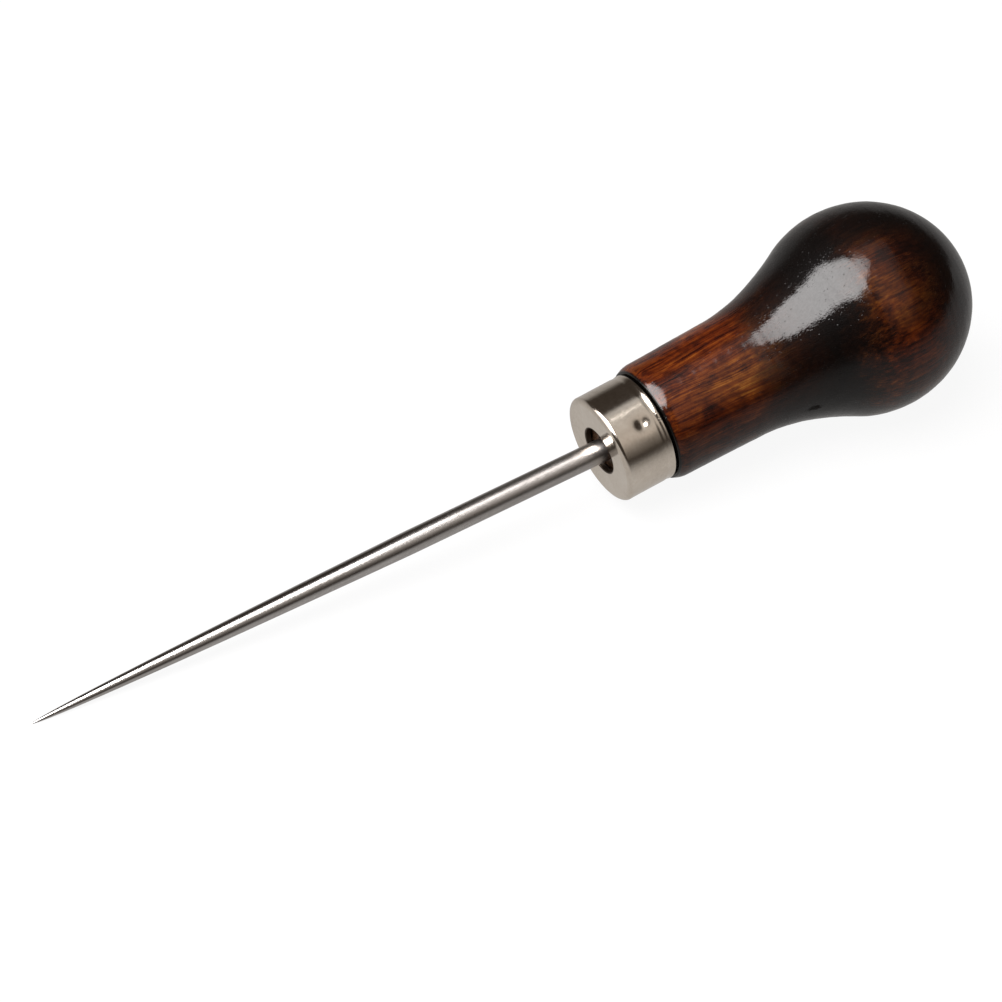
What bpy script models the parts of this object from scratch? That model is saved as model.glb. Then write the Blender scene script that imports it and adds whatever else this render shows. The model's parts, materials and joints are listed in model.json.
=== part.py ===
"""Scratch awl for marking leather: a turned hardwood handle, a drawn steel
ferrule staked to its tenon, and a round ground steel blade whose forged tang
sits in a socket in the handle.

Blender 4.5, metres, +Z up.  The awl lies on the surface z = 0 as it does on a
bench, on the belly of its bulb and the point of its blade.  +X runs along its
length, from the point towards the butt of the handle, and the origin is the
middle of the underside of its bounding box.

Every piece is modelled in the handle's own frame: the origin at the centre of
the ferrule's front face, local +Z along the handle's axis towards the point,
local +X pointing up when the awl lies at rest.
"""

import math

import bmesh
import bpy
from mathutils import Vector

MM = 0.001

# ---------------------------------------------------------------- dimensions
GAP = 0.30 * MM  # between neighbouring pieces

# blade
BLADE_EXPOSED = 88.4 * MM  # ferrule's front face to the point
SHANK_R = 1.625 * MM  # parallel part of the shank
TAPER_LENGTH = 57.3 * MM  # ground point, from the tip back to the parallel shank
TAPER_POWER = 0.506  # the ground point's radius grows as this power of the distance
TANG_START = 5.0 * MM  # behind the ferrule's face the round shank turns square
TANG_BLEND = 3.0 * MM  # length of that forged change of section
TANG_END = 40.0 * MM  # behind the ferrule's face
TANG_HALF_FRONT = 1.45 * MM  # half the width across the tang's flats
TANG_HALF_END = 0.95 * MM
BLADE_LEAN = math.radians(2.55)  # the blade is seated this far off the handle's axis
BLADE_LEAN_TURN = math.radians(45.0)  # direction of the lean, from local +X towards +Y

# ferrule
FERRULE_R = 8.0 * MM
FERRULE_LENGTH = 7.7 * MM
FERRULE_WALL = 0.9 * MM
FERRULE_EDGE_R = 1.0 * MM  # drawn front edge
FERRULE_INNER_R = 0.3 * MM  # inside corner
FERRULE_REAR_R = 0.2 * MM  # rolled rear edge
FERRULE_HOLE_R = 3.45 * MM
FERRULE_LIP_R = 0.15 * MM  # broken edge of the hole
STAKE_DEPTH_AT = 4.8 * MM  # behind the ferrule's face
STAKE_TURN = math.radians(-37.0)  # round the axis, from local +X towards +Y
STAKE_R = 1.15 * MM  # nose of the centre punch
STAKE_SINK = 0.55 * MM  # how deep the punch went

# handle
TENON_R = FERRULE_R - FERRULE_WALL - GAP
TENON_CHAMFER = 0.6 * MM
TENON_FACE = FERRULE_WALL + GAP  # behind the ferrule's face
SHOULDER_FACE = FERRULE_LENGTH + GAP
SHOULDER_R = 8.72 * MM
SHOULDER_EDGE_R = 0.8 * MM
NECK_R = 9.05 * MM  # where the flare into the bulb starts
NECK_LENGTH = 14.36 * MM  # shoulder to the start of the flare
FLARE_END = 29.5 * MM  # shoulder to where the flare meets the bulb
BULB_CENTRE = 37.0 * MM  # shoulder to the widest turn of the bulb
BULB_R = 15.2 * MM
BULB_HALF_LENGTH = 15.87 * MM

TURNED_STEPS = 64
BLADE_STEPS = 32


# ---------------------------------------------------------------- profiles
def taper_radius(distance):
    """Radius of the ground blade at this distance behind its point."""
    if distance >= TAPER_LENGTH:
        return SHANK_R
    return SHANK_R * (distance / TAPER_LENGTH) ** TAPER_POWER


def arc(centre, radius, start, end, steps):
    """(radius, depth) points along an arc in the turning plane, in degrees."""
    points = []
    for i in range(steps + 1):
        a = math.radians(start + (end - start) * i / steps)
        points.append((centre[0] + radius * math.cos(a), centre[1] + radius * math.sin(a)))
    return points


def bulb_radius(depth):
    """Radius of the bulb, an ellipsoid, at this depth behind the shoulder."""
    x = (depth - BULB_CENTRE) / BULB_HALF_LENGTH
    return BULB_R * math.sqrt(max(0.0, 1.0 - x * x))


def bulb_slope(depth):
    x = (depth - BULB_CENTRE) / BULB_HALF_LENGTH
    return -BULB_R * x / (BULB_HALF_LENGTH * math.sqrt(1.0 - x * x))


def grip_radius(depth):
    """Radius of the turned grip at this depth behind its shoulder."""
    if depth <= NECK_LENGTH:
        return SHOULDER_R + (NECK_R - SHOULDER_R) * depth / NECK_LENGTH
    if depth < FLARE_END:
        # a cubic that leaves the neck along its side and meets the bulb along its own
        h = FLARE_END - NECK_LENGTH
        q = (depth - NECK_LENGTH) / h
        return (
            (2 * q**3 - 3 * q**2 + 1) * NECK_R
            + (q**3 - 2 * q**2 + q) * h * (NECK_R - SHOULDER_R) / NECK_LENGTH
            + (-2 * q**3 + 3 * q**2) * bulb_radius(FLARE_END)
            + (q**3 - q**2) * h * bulb_slope(FLARE_END)
        )
    return bulb_radius(depth)


def handle_profile():
    """(radius, z) from the middle of the tenon's face, down the outside, to the butt."""
    points = [(0.0, -TENON_FACE), (TENON_R - TENON_CHAMFER, -TENON_FACE)]
    points += [(TENON_R, -TENON_FACE - TENON_CHAMFER), (TENON_R, -SHOULDER_FACE)]
    edge = SHOULDER_EDGE_R
    points += arc((SHOULDER_R - edge, -SHOULDER_FACE - edge), edge, 90, 0, 4)
    depths = [NECK_LENGTH * i / 4 for i in range(1, 5)]
    depths += [NECK_LENGTH + (FLARE_END - NECK_LENGTH) * i / 10 for i in range(1, 11)]
    points += [(grip_radius(d), -SHOULDER_FACE - d) for d in depths]
    start = math.acos((FLARE_END - BULB_CENTRE) / BULB_HALF_LENGTH)
    for i in range(1, 20):
        a = start * (1 - i / 20)
        depth = BULB_CENTRE + BULB_HALF_LENGTH * math.cos(a)
        points.append((bulb_radius(depth), -SHOULDER_FACE - depth))
    points.append((0.0, -SHOULDER_FACE - BULB_CENTRE - BULB_HALF_LENGTH))
    return points


def ferrule_profile():
    """(radius, z) once round the section of the drawn cap, down its outside first."""
    inner = FERRULE_R - FERRULE_WALL
    points = arc((FERRULE_HOLE_R + FERRULE_LIP_R, -FERRULE_LIP_R), FERRULE_LIP_R, 180, 90, 2)
    points += [(0.5 * (FERRULE_HOLE_R + FERRULE_R), 0.0)]
    points += arc((FERRULE_R - FERRULE_EDGE_R, -FERRULE_EDGE_R), FERRULE_EDGE_R, 90, 0, 6)
    points += [(FERRULE_R, -0.55 * FERRULE_LENGTH)]
    points += arc((FERRULE_R - FERRULE_REAR_R, -FERRULE_LENGTH + FERRULE_REAR_R), FERRULE_REAR_R, 0, -90, 2)
    points += [(inner, -FERRULE_LENGTH)]
    corner = (inner - FERRULE_INNER_R, -FERRULE_WALL - FERRULE_INNER_R)
    points += arc(corner, FERRULE_INNER_R, 0, 90, 2)
    points += [(FERRULE_HOLE_R, -FERRULE_WALL)]
    return points


# ---------------------------------------------------------------- rest pose
def blade_direction(dip):
    """World direction of the blade, towards its point, when the handle's axis dips by this angle."""
    axis = Vector((-math.cos(dip), 0.0, -math.sin(dip)))
    up = Vector((-math.sin(dip), 0.0, math.cos(dip)))
    lean = math.cos(BLADE_LEAN_TURN) * up + math.sin(BLADE_LEAN_TURN) * Vector((0.0, 1.0, 0.0))
    return math.cos(BLADE_LEAN) * axis + math.sin(BLADE_LEAN) * lean


def lowest_of_grip(dip):
    """Height of the handle's lowest point over the ferrule's face, at this dip."""
    full = BULB_CENTRE + BULB_HALF_LENGTH
    heights = []
    for i in range(2001):
        d = full * i / 2000
        heights.append((SHOULDER_FACE + d) * math.sin(dip) - grip_radius(d) * math.cos(dip))
    return min(heights)


def lowest_of_blade(dip):
    down = blade_direction(dip).z
    across = math.sqrt(1.0 - down * down)
    heights = []
    for i in range(2001):
        d = TAPER_LENGTH * (i / 2000) ** 3
        heights.append((BLADE_EXPOSED - d) * down - taper_radius(d) * across)
    return min(heights)


def rest_dip():
    """The dip at which the bulb and the blade's point touch the same level."""
    low, high = 0.0, math.radians(30)
    for _ in range(60):
        mid = 0.5 * (low + high)
        if lowest_of_blade(mid) > lowest_of_grip(mid):
            low = mid
        else:
            high = mid
    return 0.5 * (low + high)


def face_position(dip):
    """Where the ferrule's face stands so that the origin is under the middle of the awl."""
    tip = BLADE_EXPOSED * blade_direction(dip).x
    centre = (SHOULDER_FACE + BULB_CENTRE) * math.cos(dip)
    reach = math.hypot(BULB_HALF_LENGTH * math.cos(dip), BULB_R * math.sin(dip))
    return Vector((-0.5 * (tip + centre + reach), 0.0, -lowest_of_grip(dip)))


# ---------------------------------------------------------------- making
def material(name, colour, roughness, metallic):
    made = bpy.data.materials.new(name)
    made.use_nodes = True
    shader = made.node_tree.nodes["Principled BSDF"]
    shader.inputs["Base Color"].default_value = (*colour, 1.0)
    shader.inputs["Roughness"].default_value = roughness
    shader.inputs["Metallic"].default_value = metallic
    return made


def add_object(name, mesh, parent, finish=None):
    made = bpy.data.objects.new(name, mesh)
    bpy.context.scene.collection.objects.link(made)
    made.parent = parent
    if finish:
        mesh.materials.append(finish)
    return made


def turned(name, profile, closed, parent, finish):
    """A profile in the local XZ plane, turned once round local Z by a Screw."""
    mesh = bpy.data.meshes.new(name)
    bm = bmesh.new()
    points = [bm.verts.new((r, 0.0, z)) for r, z in profile]
    for a, b in zip(points, points[1:]):
        bm.edges.new((a, b))
    if closed:
        bm.edges.new((points[-1], points[0]))
    bm.to_mesh(mesh)
    bm.free()
    made = add_object(name, mesh, parent, finish)
    screw = made.modifiers.new("turning", "SCREW")
    screw.axis = "Z"
    screw.angle = math.tau
    screw.steps = TURNED_STEPS
    screw.render_steps = TURNED_STEPS
    screw.use_merge_vertices = True
    screw.merge_threshold = 0.000001
    screw.use_smooth_shade = True
    return made


def section(half_width, squareness, count):
    """A ring between a circle and a square with soft corners, as the forging leaves it."""
    power = 2.0 + 10.0 * squareness
    ring = []
    for i in range(count):
        a = math.tau * i / count
        c, s = abs(math.cos(a)), abs(math.sin(a))
        r = half_width / (c**power + s**power) ** (1.0 / power)
        ring.append((r * math.cos(a), r * math.sin(a)))
    return ring


def tang_half_width(depth):
    q = (depth - TANG_START - TANG_BLEND) / (TANG_END - TANG_START - TANG_BLEND)
    return TANG_HALF_FRONT + (TANG_HALF_END - TANG_HALF_FRONT) * min(max(q, 0.0), 1.0)


def tang_stations(grown, mouth, count):
    """(z, half width, squareness) of the shank and tang behind the ferrule's face, grown all round."""
    stations = [(-mouth, SHANK_R + grown, 0.0), (-TANG_START, SHANK_R + grown, 0.0)]
    for i in range(1, count + 1):
        q = i / count
        ease = q * q * (3 - 2 * q)
        width = SHANK_R + (TANG_HALF_FRONT - SHANK_R) * ease
        stations.append((-TANG_START - q * TANG_BLEND, width + grown, ease))
    stations.append((-TANG_END - grown, tang_half_width(TANG_END) + grown, 1.0))
    return stations


def lofted(name, stations, tip, parent, finish):
    """Rings joined by bridging their loops, with flat ends or, where tip is given, a point."""
    mesh = bpy.data.meshes.new(name)
    bm = bmesh.new()
    rings = []
    for z, half_width, squareness in stations:
        ring = [bm.verts.new((x, y, z)) for x, y in section(half_width, squareness, BLADE_STEPS)]
        for a, b in zip(ring, ring[1:] + ring[:1]):
            bm.edges.new((a, b))
        rings.append(ring)
    for a, b in zip(rings, rings[1:]):
        for i in range(BLADE_STEPS):
            j = (i + 1) % BLADE_STEPS
            bm.faces.new((a[i], b[i], b[j], a[j]))
    bm.faces.new(rings[-1])
    if tip is None:
        bm.faces.new(rings[0])
    else:
        point = bm.verts.new((0.0, 0.0, tip))
        for i in range(BLADE_STEPS):
            bm.faces.new((point, rings[0][i], rings[0][(i + 1) % BLADE_STEPS]))
    bmesh.ops.recalc_face_normals(bm, faces=bm.faces)
    bm.to_mesh(mesh)
    bm.free()
    mesh.shade_smooth()
    mesh.set_sharp_from_angle(angle=math.radians(35))
    return add_object(name, mesh, parent, finish)


def ball(name, radius, centre, parent):
    mesh = bpy.data.meshes.new(name)
    bm = bmesh.new()
    bmesh.ops.create_icosphere(bm, subdivisions=3, radius=radius)
    bmesh.ops.translate(bm, vec=centre, verts=bm.verts)
    bm.to_mesh(mesh)
    bm.free()
    mesh.shade_smooth()
    made = add_object(name, mesh, parent)
    made.hide_render = True
    made.display_type = "WIRE"
    return made


def boolean(target, other, operation):
    step = target.modifiers.new(other.name, "BOOLEAN")
    step.operation = operation
    step.object = other
    step.solver = "EXACT"
    return step


def main():
    for old in list(bpy.data.objects):
        bpy.data.objects.remove(old, do_unlink=True)

    steel = material("ground_steel", (0.55, 0.53, 0.51), 0.18, 1.0)
    nickel = material("nickel_plate", (0.62, 0.58, 0.52), 0.28, 1.0)
    wood = material("lacquered_hardwood", (0.13, 0.035, 0.009), 0.25, 0.0)

    dip = rest_dip()
    axis = bpy.data.objects.new("handle_axis", None)
    bpy.context.scene.collection.objects.link(axis)
    axis.location = face_position(dip)
    axis.rotation_euler = (0.0, -(math.pi / 2 + dip), 0.0)

    seat = bpy.data.objects.new("blade_axis", None)
    bpy.context.scene.collection.objects.link(seat)
    seat.parent = axis
    leaning = Vector(
        (
            math.sin(BLADE_LEAN) * math.cos(BLADE_LEAN_TURN),
            math.sin(BLADE_LEAN) * math.sin(BLADE_LEAN_TURN),
            math.cos(BLADE_LEAN),
        )
    )
    seat.rotation_mode = "QUATERNION"
    seat.rotation_quaternion = Vector((0.0, 0.0, 1.0)).rotation_difference(leaning)

    # blade: ground point, parallel shank, forged square tang
    stations = []
    for i in range(1, 25):
        distance = TAPER_LENGTH * (i / 24) ** 2.4
        stations.append((BLADE_EXPOSED - distance, taper_radius(distance), 0.0))
    stations += tang_stations(0.0, 0.0, 5)
    lofted("blade", stations, BLADE_EXPOSED, seat, steel)

    # the punch that staked the ferrule: its nose, the sheet pushed in by it, the dent in the tenon
    out = FERRULE_R + STAKE_R - STAKE_SINK
    centre = Vector((out * math.cos(STAKE_TURN), out * math.sin(STAKE_TURN), -STAKE_DEPTH_AT))
    nose = ball("cutter_stake_nose", STAKE_R, centre, axis)
    bump = ball("cutter_stake_bump", STAKE_R + 0.8 * FERRULE_WALL, centre, axis)
    dent = ball("cutter_stake_dent", STAKE_R + 0.8 * FERRULE_WALL + GAP, centre, axis)

    # a block that keeps only the part of the bump that stands inside the ferrule's wall
    core_mesh = bpy.data.meshes.new("cutter_stake_core")
    bm = bmesh.new()
    bmesh.ops.create_cone(
        bm,
        cap_ends=True,
        segments=TURNED_STEPS,
        radius1=FERRULE_R - 0.5 * FERRULE_WALL,
        radius2=FERRULE_R - 0.5 * FERRULE_WALL,
        depth=FERRULE_LENGTH,
    )
    bmesh.ops.translate(bm, vec=(0.0, 0.0, -0.5 * FERRULE_LENGTH), verts=bm.verts)
    bm.to_mesh(core_mesh)
    bm.free()
    core = add_object("cutter_stake_core", core_mesh, axis)
    core.hide_render = True
    core.display_type = "WIRE"
    boolean(bump, core, "INTERSECT")

    # ferrule: drawn cap with the blade's hole, staked once from the side
    ferrule = turned("ferrule", ferrule_profile(), True, axis, nickel)
    boolean(ferrule, bump, "UNION")
    boolean(ferrule, nose, "DIFFERENCE")

    # handle: turned grip and tenon, with the dent under the stake and the socket for the tang
    handle = turned("handle", handle_profile(), False, axis, wood)
    boolean(handle, dent, "DIFFERENCE")
    socket = lofted("cutter_tang_socket", tang_stations(GAP, 0.0, 5), None, seat, None)
    socket.hide_render = True
    socket.display_type = "WIRE"
    boolean(handle, socket, "DIFFERENCE")


main()
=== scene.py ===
"""Looks of the scratch awl: the turned and lacquered handle, the nickel plated
ferrule staked to it, and the polished round blade, each as a fine closed mesh
with its own procedural finish, on a plain pale floor under soft studio light.

Lengths are in metres.  Every piece is built in the tool's own frame: the origin
at the centre of the ferrule's front face, local +Z along the handle's axis
towards the point, local +X upwards when the awl lies at rest.
"""

import json
import math

import bpy
import numpy as np
from mathutils import Matrix, Quaternion, Vector, noise


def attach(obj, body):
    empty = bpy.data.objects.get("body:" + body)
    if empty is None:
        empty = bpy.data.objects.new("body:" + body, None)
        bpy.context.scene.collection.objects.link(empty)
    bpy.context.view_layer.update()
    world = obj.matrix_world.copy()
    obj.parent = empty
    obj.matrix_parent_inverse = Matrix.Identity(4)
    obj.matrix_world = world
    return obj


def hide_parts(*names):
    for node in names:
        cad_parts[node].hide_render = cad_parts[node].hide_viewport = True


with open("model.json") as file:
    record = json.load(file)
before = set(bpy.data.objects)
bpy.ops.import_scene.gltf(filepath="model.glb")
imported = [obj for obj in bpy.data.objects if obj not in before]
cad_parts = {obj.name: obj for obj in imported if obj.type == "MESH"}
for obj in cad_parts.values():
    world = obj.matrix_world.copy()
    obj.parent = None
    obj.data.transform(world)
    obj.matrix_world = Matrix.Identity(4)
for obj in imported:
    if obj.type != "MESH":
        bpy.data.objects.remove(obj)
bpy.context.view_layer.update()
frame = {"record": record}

MM = 0.001

# ------------------------------------------------------------ the tool's frame
mount = [m for m in frame["record"]["mounts"] if m["name"] == "ferrule_face"][0]
AXIS = Vector(mount["axis"]).normalized()
UP = Vector((AXIS.z, 0.0, -AXIS.x)).normalized()
FACE = Vector(mount["pos_m"]) - 5.2 * MM * UP
SIDE = AXIS.cross(UP)
TOOL = Matrix(
    (
        (UP.x, SIDE.x, AXIS.x, FACE.x),
        (UP.y, SIDE.y, AXIS.y, FACE.y),
        (UP.z, SIDE.z, AXIS.z, FACE.z),
        (0.0, 0.0, 0.0, 1.0),
    )
)

# ------------------------------------------------------------ sizes, as the CAD has them
BLADE_EXPOSED = 88.4
SHANK_R = 1.625
TAPER_LENGTH = 57.3
TAPER_POWER = 0.506
TANG_START, TANG_BLEND, TANG_END = 5.0, 3.0, 40.0
TANG_HALF_FRONT, TANG_HALF_END = 1.45, 0.95
BLADE_LEAN, BLADE_LEAN_TURN = math.radians(2.55), math.radians(45.0)
FERRULE_R, FERRULE_LENGTH, FERRULE_WALL = 8.0, 7.7, 0.9
FERRULE_EDGE_R, FERRULE_INNER_R, FERRULE_REAR_R = 1.0, 0.3, 0.2
FERRULE_HOLE_R, FERRULE_LIP_R = 3.45, 0.15
STAKE_AT, STAKE_TURN, STAKE_R, STAKE_SINK = 4.8, math.radians(-37.0), 1.15, 0.55
GAP = 0.30
TENON_R, TENON_CHAMFER, TENON_FACE = 6.8, 0.6, 1.2
SHOULDER_FACE, SHOULDER_R, SHOULDER_EDGE_R = 8.0, 8.72, 0.8
NECK_R, NECK_LENGTH, FLARE_END = 9.05, 14.36, 29.5
BULB_CENTRE, BULB_R, BULB_HALF = 37.0, 15.2, 15.87
HANDLE_LENGTH = BULB_CENTRE + BULB_HALF


def bulb_radius(d):
    x = (d - BULB_CENTRE) / BULB_HALF
    return BULB_R * math.sqrt(max(0.0, 1.0 - x * x))


def grip_radius(d):
    """Radius of the turned grip this far behind its shoulder, in mm."""
    if d <= NECK_LENGTH:
        return SHOULDER_R + (NECK_R - SHOULDER_R) * d / NECK_LENGTH
    if d >= FLARE_END:
        return bulb_radius(d)
    h = FLARE_END - NECK_LENGTH
    q = (d - NECK_LENGTH) / h
    x = (FLARE_END - BULB_CENTRE) / BULB_HALF
    slope = -BULB_R * x / (BULB_HALF * math.sqrt(1.0 - x * x))
    return (
        (2 * q**3 - 3 * q**2 + 1) * NECK_R
        + (q**3 - 2 * q**2 + q) * h * (NECK_R - SHOULDER_R) / NECK_LENGTH
        + (-2 * q**3 + 3 * q**2) * bulb_radius(FLARE_END)
        + (q**3 - q**2) * h * slope
    )


def taper_radius(d):
    return SHANK_R if d >= TAPER_LENGTH else SHANK_R * (d / TAPER_LENGTH) ** TAPER_POWER


LEAN_TO = Vector(
    (
        math.sin(BLADE_LEAN) * math.cos(BLADE_LEAN_TURN),
        math.sin(BLADE_LEAN) * math.sin(BLADE_LEAN_TURN),
        math.cos(BLADE_LEAN),
    )
)
SEAT = np.array(Vector((0, 0, 1)).rotation_difference(LEAN_TO).to_matrix())


# ------------------------------------------------------------ mesh helpers
def mesh_from_rings(name, rings, first, last, wrap=False):
    """A closed skin over rings of equal count, in mm.  first and last are poles, or None with wrap."""
    count, around = rings.shape[0], rings.shape[1]
    points = rings.reshape(-1, 3)
    i, j = np.meshgrid(np.arange(count if wrap else count - 1), np.arange(around), indexing="ij")
    a = i * around + j
    b = ((i + 1) % count) * around + j
    c = ((i + 1) % count) * around + (j + 1) % around
    d = i * around + (j + 1) % around
    quads = np.stack([a, d, c, b], axis=-1).reshape(-1, 4)
    faces = quads.tolist()
    extra = []
    if first is not None:
        pole = len(points) + len(extra)
        extra.append(first)
        faces += [[pole, (k + 1) % around, k] for k in range(around)]
    if last is not None:
        pole = len(points) + len(extra)
        extra.append(last)
        base = (count - 1) * around
        faces += [[pole, base + k, base + (k + 1) % around] for k in range(around)]
    if extra:
        points = np.concatenate([points, np.array(extra, float)])
    mesh = bpy.data.meshes.new(name)
    mesh.from_pydata((points * MM).tolist(), [], faces)
    kept = mesh.attributes.new("tool_mm", "FLOAT_VECTOR", "POINT")
    kept.data.foreach_set("vector", points.astype(np.float32).ravel())
    mesh.transform(TOOL)
    mesh.update()
    mesh.shade_smooth()
    made = bpy.data.objects.new(name, mesh)
    bpy.context.scene.collection.objects.link(made)
    return made


def outward(obj):
    """Turns the faces to look out, by the sign of the enclosed volume."""
    mesh = obj.data
    mesh.calc_loop_triangles()
    tri = np.empty(len(mesh.loop_triangles) * 3, np.int32)
    mesh.loop_triangles.foreach_get("vertices", tri)
    co = np.empty(len(mesh.vertices) * 3, np.float64)
    mesh.vertices.foreach_get("co", co)
    p = co.reshape(-1, 3)[tri.reshape(-1, 3)]
    volume = np.einsum("ij,ij->i", p[:, 0], np.cross(p[:, 1], p[:, 2])).sum()
    if volume < 0:
        mesh.flip_normals()
    return obj


def circle(radius, z, angles):
    return np.stack([radius * np.cos(angles), radius * np.sin(angles), np.full_like(angles, z)], axis=-1)


def arc(centre, radius, start, end, steps):
    a = np.radians(np.linspace(start, end, steps + 1))
    return [(centre[0] + radius * math.cos(t), centre[1] + radius * math.sin(t)) for t in a]


def line(a, b, steps, end=True):
    out = [(a[0] + (b[0] - a[0]) * k / steps, a[1] + (b[1] - a[1]) * k / steps) for k in range(steps)]
    return out + [b] if end else out


def section(half, square, angles):
    """A ring between a circle and a square with soft corners."""
    power = 2.0 + 10.0 * square
    r = half / (np.abs(np.cos(angles)) ** power + np.abs(np.sin(angles)) ** power) ** (1.0 / power)
    return r * np.cos(angles), r * np.sin(angles)


def seat_ring(half, square, z, angles, flat_at=None):
    """A section on the leaning axis; flat_at slides it along that axis onto a level plane."""
    x, y = section(half, square, angles)
    p = np.stack([x, y, np.full_like(x, z)], axis=-1) @ SEAT.T
    if flat_at is not None:
        lean = np.array(LEAN_TO)
        p = p + ((flat_at - p[:, 2]) / lean[2])[:, None] * lean
    return p


def smooth(x):
    x = np.clip(x, 0.0, 1.0)
    return x * x * (3 - 2 * x)


def noise_of(p, scale, seed, octaves=2):
    """Smooth noise at points p (mm), features about 1/scale mm."""
    out = np.empty(len(p))
    shift = Vector((seed * 17.31, seed * 9.77, seed * 5.13))
    for k, q in enumerate(p):
        v = Vector(q) * scale + shift
        total, amp = 0.0, 1.0
        for _ in range(octaves):
            total += amp * noise.noise(v)
            v = v * 2.03
            amp *= 0.5
        out[k] = total
    return out


# ------------------------------------------------------------ handle
def tang_stations(grown):
    stations = []
    for k in range(7):
        q = k / 6
        ease = q * q * (3 - 2 * q)
        width = SHANK_R + (TANG_HALF_FRONT - SHANK_R) * ease
        stations.append((-TANG_START - q * TANG_BLEND, width + grown, ease))
    steps = 24
    for k in range(1, steps + 1):
        q = k / steps
        z = -TANG_START - TANG_BLEND - q * (TANG_END + grown - TANG_START - TANG_BLEND)
        stations.append((z, TANG_HALF_FRONT + (TANG_HALF_END - TANG_HALF_FRONT) * min(q, 1.0) + grown, 1.0))
    return stations


def rolled_radius(d):
    """The grip's radius with its front edge eased over by sanding."""
    ease = max(0.0, 1.0 - d / 1.9)
    return grip_radius(d) - 0.50 * ease**2.2


def build_handle():
    around = 268
    angles = np.arange(around) * math.tau / around
    rings = []
    # the socket for the tang, from its bottom to its mouth
    socket = tang_stations(GAP)
    for z, half, square in reversed(socket):
        rings.append(seat_ring(half, square, z, angles))
    for z in (-4.0, -3.0, -2.2, -1.6):
        rings.append(seat_ring(SHANK_R + GAP, 0.0, z, angles))
    mouth = seat_ring(SHANK_R + GAP + 0.05, 0.0, -1.0, angles, flat_at=-TENON_FACE)
    rings.append(seat_ring(SHANK_R + GAP, 0.0, -1.3, angles, flat_at=-TENON_FACE - 0.12))
    rings.append(mouth)
    # the tenon's face, sawn end grain with a slightly proud, torn surface
    rim = circle(TENON_R - TENON_CHAMFER, -TENON_FACE, angles)
    for k in range(1, 24):
        q = k / 24
        ring = mouth * (1 - q) + rim * q
        wobble = noise_of(ring, 1.9, 3) * 0.06 * math.sin(math.pi * q)
        ring[:, 2] -= np.abs(wobble)
        rings.append(ring)
    rings.append(rim)
    # chamfer and tenon
    for r, z in line((TENON_R - TENON_CHAMFER, -TENON_FACE), (TENON_R, -TENON_FACE - TENON_CHAMFER), 4)[1:]:
        rings.append(circle(r, z, angles))
    stake = np.array([math.cos(STAKE_TURN), math.sin(STAKE_TURN)])
    for k in range(1, 41):
        z = -TENON_FACE - TENON_CHAMFER - k / 40 * (SHOULDER_FACE - TENON_FACE - TENON_CHAMFER - 0.05)
        ring = circle(TENON_R, z, angles)
        # the dent that the stake pushed into the tenon
        out = FERRULE_R + STAKE_R - STAKE_SINK
        centre = np.array([out * stake[0], out * stake[1], -STAKE_AT])
        deep = STAKE_R + 0.8 * FERRULE_WALL + GAP
        radial = np.stack([np.cos(angles), np.sin(angles), np.zeros_like(angles)], axis=-1)
        along = radial @ centre
        off2 = (centre**2).sum() - along**2 - 2 * centre[2] * z + z * z
        # distance from the centre to the line at this height and angle
        flat = radial * 0.0
        flat[:, 2] = z
        to = centre - flat
        t = (to * radial).sum(axis=1)
        gap2 = (to * to).sum(axis=1) - t * t
        cut = np.where(gap2 < deep * deep, t - np.sqrt(np.maximum(deep * deep - gap2, 0.0)), 1e9)
        r = np.where(t > 0, np.minimum(TENON_R, cut), TENON_R)
        rings.append(circle(1.0, z, angles) * np.stack([r, r, np.ones_like(r)], axis=-1))
    rings.append(circle(TENON_R + 0.05, -SHOULDER_FACE, angles))
    # the shoulder and its edge
    corner = 0.22
    start = rolled_radius(corner)
    for r, z in line((TENON_R + 0.05, -SHOULDER_FACE), (start - corner, -SHOULDER_FACE), 5)[1:]:
        rings.append(circle(r, z, angles))
    for r, z in arc((start - corner, -SHOULDER_FACE - corner), corner, 90, 12, 7)[1:]:
        rings.append(circle(r, z, angles))
    for d in np.linspace(corner, 2.2, 12)[:-1]:
        rings.append(circle(rolled_radius(d), -SHOULDER_FACE - d, angles))
    # the grip: even steps along its outline
    fine = np.linspace(2.1, HANDLE_LENGTH, 4000)
    radii = np.array([grip_radius(d) for d in fine])
    run = np.concatenate([[0.0], np.cumsum(np.hypot(np.diff(fine), np.diff(radii)))])
    count = 236
    marks = np.linspace(0, run[-1], count + 1)[1:-1]
    depths = np.interp(marks, run, fine)
    for d in depths:
        r = grip_radius(d)
        z = -SHOULDER_FACE - d
        # faint turning marks and hand sanding: a few hundredths of a millimetre
        ring = circle(r, z, angles)
        fade = float(smooth((d - 1.6) / 3.0)) * min(1.0, (HANDLE_LENGTH - d) / 3.0 + 0.15)
        soft = np.array([
            noise.noise(Vector((p[0] * 0.22, p[1] * 0.22, p[2] * 0.30)))
            + 0.45 * noise.noise(Vector((p[0] * 0.62 + 9.0, p[1] * 0.62, p[2] * 0.55)))
            for p in ring[:: 2]
        ])
        soft = np.interp(np.arange(around), np.arange(0, around + 1, 2), np.append(soft, soft[0]))
        turn = 0.35 * math.sin(d * 2.9 + 0.8 * math.sin(d * 0.7)) + 0.25 * math.sin(d * 5.3 + 1.2)
        grow = (0.030 * soft + 0.012 * turn - 0.02) * fade
        ring[:, :2] *= (1.0 + grow / max(r, 1.0))[:, None]
        rings.append(ring)
    rings = np.array(rings)
    bottom = np.array([0.0, 0.0, socket[-1][0]]) @ SEAT.T
    return outward(mesh_from_rings("handle_wood", rings, bottom, [0.0, 0.0, -SHOULDER_FACE - HANDLE_LENGTH + 0.01]))


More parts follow.
